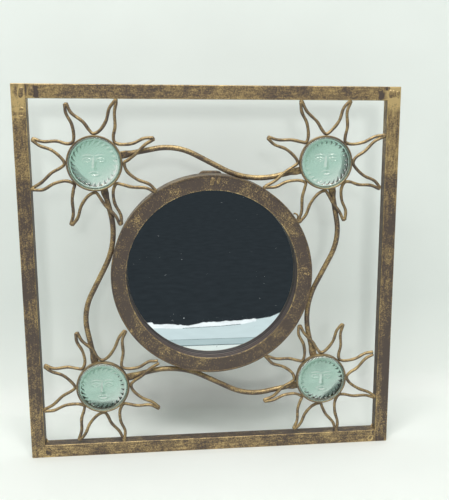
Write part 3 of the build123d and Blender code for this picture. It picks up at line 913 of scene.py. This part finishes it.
# Unlit surfaces that glow evenly with a little mottling, for what only reflections show. Besides the
# ceiling lamps, this glow is a painted reflection of a room and a table.
def glowing(tree, place, code, mottle, power=1.0):
    cloud = add_node(tree, "ShaderNodeTexNoise", {
        "Vector": place, "Scale": 1 / (25 * MM), "Detail": 3.0})
    strength = add_node(tree, "ShaderNodeMapRange", {
        "Value": cloud.outputs["Fac"], "From Min": 0.3, "From Max": 0.7,
        "To Min": power * (1 - mottle), "To Max": power * (1 + mottle)})
    return add_node(tree, "ShaderNodeEmission", {
        "Color": linear(code), "Strength": strength.outputs[0]})


# Matt white background paper: white on the floor, and up the wall painted a shade darker, a painted
# shade for the light that reaches the wall less than the floor. It is clear from behind, so that it
# doesn't hide the mirror's back.
def background_paper(tree, place):
    mottle = add_node(tree, "ShaderNodeTexNoise", {
        "Vector": place, "Scale": 1 / (111 * MM), "Detail": 2.0})
    floor = add_node(tree, "ShaderNodeMix", {
        0: mottle.outputs["Fac"], 6: linear("#eff4f1"), 7: linear("#f7fbf8")}, data_type="RGBA")
    wall = add_node(tree, "ShaderNodeMix", {
        0: mottle.outputs["Fac"], 6: linear("#dbe2df"), 7: linear("#e3eae7")}, data_type="RGBA")
    height = add_node(tree, "ShaderNodeSeparateXYZ", {0: place}).outputs["Z"]
    # Up the wall the paper is painted darker, a painted shade.
    above = add_node(tree, "ShaderNodeMapRange", {"Value": height, "From Max": 120 * MM})
    shade = add_node(tree, "ShaderNodeMix", {
        0: above.outputs[0], 6: floor.outputs[2], 7: wall.outputs[2]}, data_type="RGBA")
    paper = add_node(tree, "ShaderNodeBsdfPrincipled", {
        "Base Color": shade.outputs[2], "Roughness": 0.85, "Specular IOR Level": 0.2})
    clear = add_node(tree, "ShaderNodeBsdfTransparent")
    behind = add_node(tree, "ShaderNodeNewGeometry").outputs["Backfacing"]
    return add_node(tree, "ShaderNodeMixShader", {0: behind, 1: paper.outputs[0], 2: clear.outputs[0]})


def reflected(name, points, material):
    """A flat stage piece that only reflections and the view through glass show."""
    piece = mesh_piece(name, points, [tuple(range(len(points)))], material, None)
    piece.visible_camera = False
    piece.visible_diffuse = False
    piece.visible_shadow = False


def card(name, outline, level, material):
    """A flat card this many millimetres over the floor, for the mirror."""
    reflected(name, [(x, y, level * MM) for x, y in outline], material)


def band(low, high, half=TABLE_HALF):
    """The outline of a straight band across, from low to high."""
    return [(-half, low), (half, low), (half, high), (-half, high)]


def ragged(corners, amount):
    """A smooth line through these corners with an uneven edge."""
    path = smooth_path([Vector((x, y, 0)) for x, y in corners], 6)
    return [(point.x, point.y + amount * noise.noise(point / (4 * MM))) for point in path]


class SUNMIRROR_OT_stage(bpy.types.Operator):
    """Make the floor, the wall, the lights and the camera"""
    bl_idname = "sunmirror.stage"
    bl_label = "Stage"

    def execute(self, context):
        sizes = context.scene.sun_stage
        self.backdrop(sizes.wall_distance, sizes.cove_radius)
        self.dark_room()
        self.world(context.scene)
        self.lamps(context.scene, sizes.key_power)
        self.camera(context.scene)
        return {"FINISHED"}

    def backdrop(self, wall_y, radius):
        """A sheet of paper that runs over the floor, round the cove and up the wall."""
        profile = [(PAPER_FRONT, 0.0)]
        for index in range(COVE_STEPS + 1):
            angle = math.pi / 2 * index / COVE_STEPS
            y, z = wall_y - radius + radius * math.sin(angle), radius - radius * math.cos(angle)
            profile.append((y, z))
        profile.append((wall_y, PAPER_TOP))
        points = [(side * PAPER_HALF_WIDTH, y, z) for side in (-1, 1) for y, z in profile]
        count = len(profile)
        faces = [(i, count + i, count + i + 1, i + 1) for i in range(count - 1)]
        paper = new_material("matt white paper", background_paper)
        mesh_piece("backdrop", points, faces, paper, None)

    def dark_room(self):
        """What the mirror shows beyond the floor, as glowing cards that are a painted reflection: an unlit
        room, and a table's glowing pale edge.
        """
        room = new_material("unlit room", glowing, "#363b3f", 0.12)
        # Glowing cards, painted reflections: a dark room, a bright table edge, top and board, and shadow
        # lines.
        edge = new_material("glowing pale edge", glowing, "#ffffff", 0.12, 1.25)
        top = new_material("pale top", glowing, "#eefafa", 0.03)
        board = new_material("pale board", glowing, "#cfdfdf", 0.04)
        line = new_material("shadow line", glowing, "#7f8d8f", 0.3)
        lamp = new_material("ceiling lamp", glowing, "#ffffff", 0.05, 30.0)
        card("dark_room", TABLE_FAR + ((ROOM_HALF, ROOM_END), (-ROOM_HALF, ROOM_END)), 0.2, room)
        card("glowing_edge", ragged(GLOW_EDGE_NEAR, 3 * MM) + ragged(GLOW_EDGE_FAR[::-1], 7 * MM), 0.4, edge)
        table = TABLE_FAR[1:-1] + ((TABLE_HALF, -0.57), (TABLE_HALF, TABLE_NEAR), (-0.2, TABLE_NEAR))
        card("table_top", table, 0.1, top)
        card("edge_shadow", EDGE_SHADOW, 0.5, line)
        card("table_board", band(*BOARD), 0.1, board)
        for count, edges in enumerate(BOARD_LINES):
            card(f"table_line_{count + 1}", band(*edges), 0.3, line)
        for count, (x, y, z) in enumerate(CEILING_LAMPS):
            corners = [(x + aside, y + back, z) for aside, back in CEILING_LAMP]
            reflected(f"ceiling_lamp_{count + 1}", corners, lamp)
        wall = [(x, ROOM_END, z) for x, z in band(-0.1, ROOM_TOP, ROOM_HALF)]
        reflected("dark_wall", wall, room)

    def world(self, scene):
        """A faint even light from all round, and a plain pale ground behind everything."""
        world = bpy.data.worlds.new("soft room light")
        scene.world = world
        world.use_nodes = True
        tree = world.node_tree
        tree.nodes.clear()
        glow = add_node(tree, "ShaderNodeBackground", {"Color": linear("#f1f5f4"), "Strength": 0.17})
        plain = add_node(tree, "ShaderNodeBackground", {"Color": linear("#e4e8e4"), "Strength": 1.0})
        seen = add_node(tree, "ShaderNodeLightPath").outputs["Is Camera Ray"]
        either = add_node(tree, "ShaderNodeMixShader", {
            0: seen, 1: glow.outputs[0], 2: plain.outputs[0]})
        add_node(tree, "ShaderNodeOutputWorld", {"Surface": either.outputs[0]})

    def lamps(self, scene, key_power):
        """Three round lamps that look at the ring's centre: name, place, width, power."""
        for name, place, size, power in (
            ("key light", (0.45, -1.2, 1.35), 0.45, key_power),
            ("top light", (-0.18, -0.80, 1.62), 0.9, 20.4),
            ("front light", (-0.05, -1.6, 0.56), 0.14, 4.7),
        ):
            lamp = bpy.data.lights.new(name, "AREA")
            lamp.shape = "DISK"
            lamp.size = size
            lamp.energy = power
            lamp.color = linear("#fffdfa")[:3]
            holder = bpy.data.objects.new(name, lamp)
            scene.collection.objects.link(holder)
            holder.location = place
            aim = Vector((0, 0, ring_centre.z)) - Vector(place)
            holder.rotation_mode = "QUATERNION"
            holder.rotation_quaternion = aim.to_track_quat("-Z", "Y")
            holder.visible_glossy = name != "front light"
            holder.visible_transmission = False

    def camera(self, scene):
        """The camera in front of the mirror, a little above and to the left of its middle."""
        data = bpy.data.cameras.new("camera")
        data.sensor_fit = "AUTO"
        data.sensor_width = 36.0
        data.lens = CAMERA_LENS
        data.shift_x, data.shift_y = CAMERA_SHIFT
        data.clip_start = 0.01
        data.clip_end = 20.0
        holder = bpy.data.objects.new("camera", data)
        scene.collection.objects.link(holder)
        turn = Euler([math.radians(angle) for angle in CAMERA_TURN])
        holder.matrix_world = Matrix.LocRotScale(Vector(CAMERA_PLACE), turn, None)
        scene.camera = holder
        scene.view_settings.view_transform = "Standard"


class SUNMIRROR_PT_panel(bpy.types.Panel):
    """Lists the steps that make the mirror"""
    bl_idname = "SUNMIRROR_PT_panel"
    bl_label = "Sun mirror"
    bl_space_type = "VIEW_3D"
    bl_region_type = "UI"
    bl_category = "Mirror"

    def draw(self, context):
        for operator in OPERATORS:
            self.layout.operator(operator.bl_idname)
        for group in (context.scene.sun_paint, context.scene.sun_stage):
            for key in group.__annotations__:
                self.layout.prop(group, key)


OPERATORS = (SUNMIRROR_OT_metal, SUNMIRROR_OT_flames, SUNMIRROR_OT_glass, SUNMIRROR_OT_mirror,
             SUNMIRROR_OT_stage)
CLASSES = (PaintSizes, StageSizes) + OPERATORS + (SUNMIRROR_PT_panel,)


def register():
    for item in CLASSES:
        bpy.utils.register_class(item)
    bpy.types.Scene.sun_paint = bpy.props.PointerProperty(type=PaintSizes)
    bpy.types.Scene.sun_stage = bpy.props.PointerProperty(type=StageSizes)


def unregister():
    del bpy.types.Scene.sun_stage
    del bpy.types.Scene.sun_paint
    for item in reversed(CLASSES):
        bpy.utils.unregister_class(item)


def main():
    """Make every piece in order."""
    register()
    bpy.ops.sunmirror.metal()
    bpy.ops.sunmirror.flames()
    bpy.ops.sunmirror.glass()
    bpy.ops.sunmirror.mirror()
    bpy.ops.sunmirror.stage()


if __name__ == "__main__":
    main()
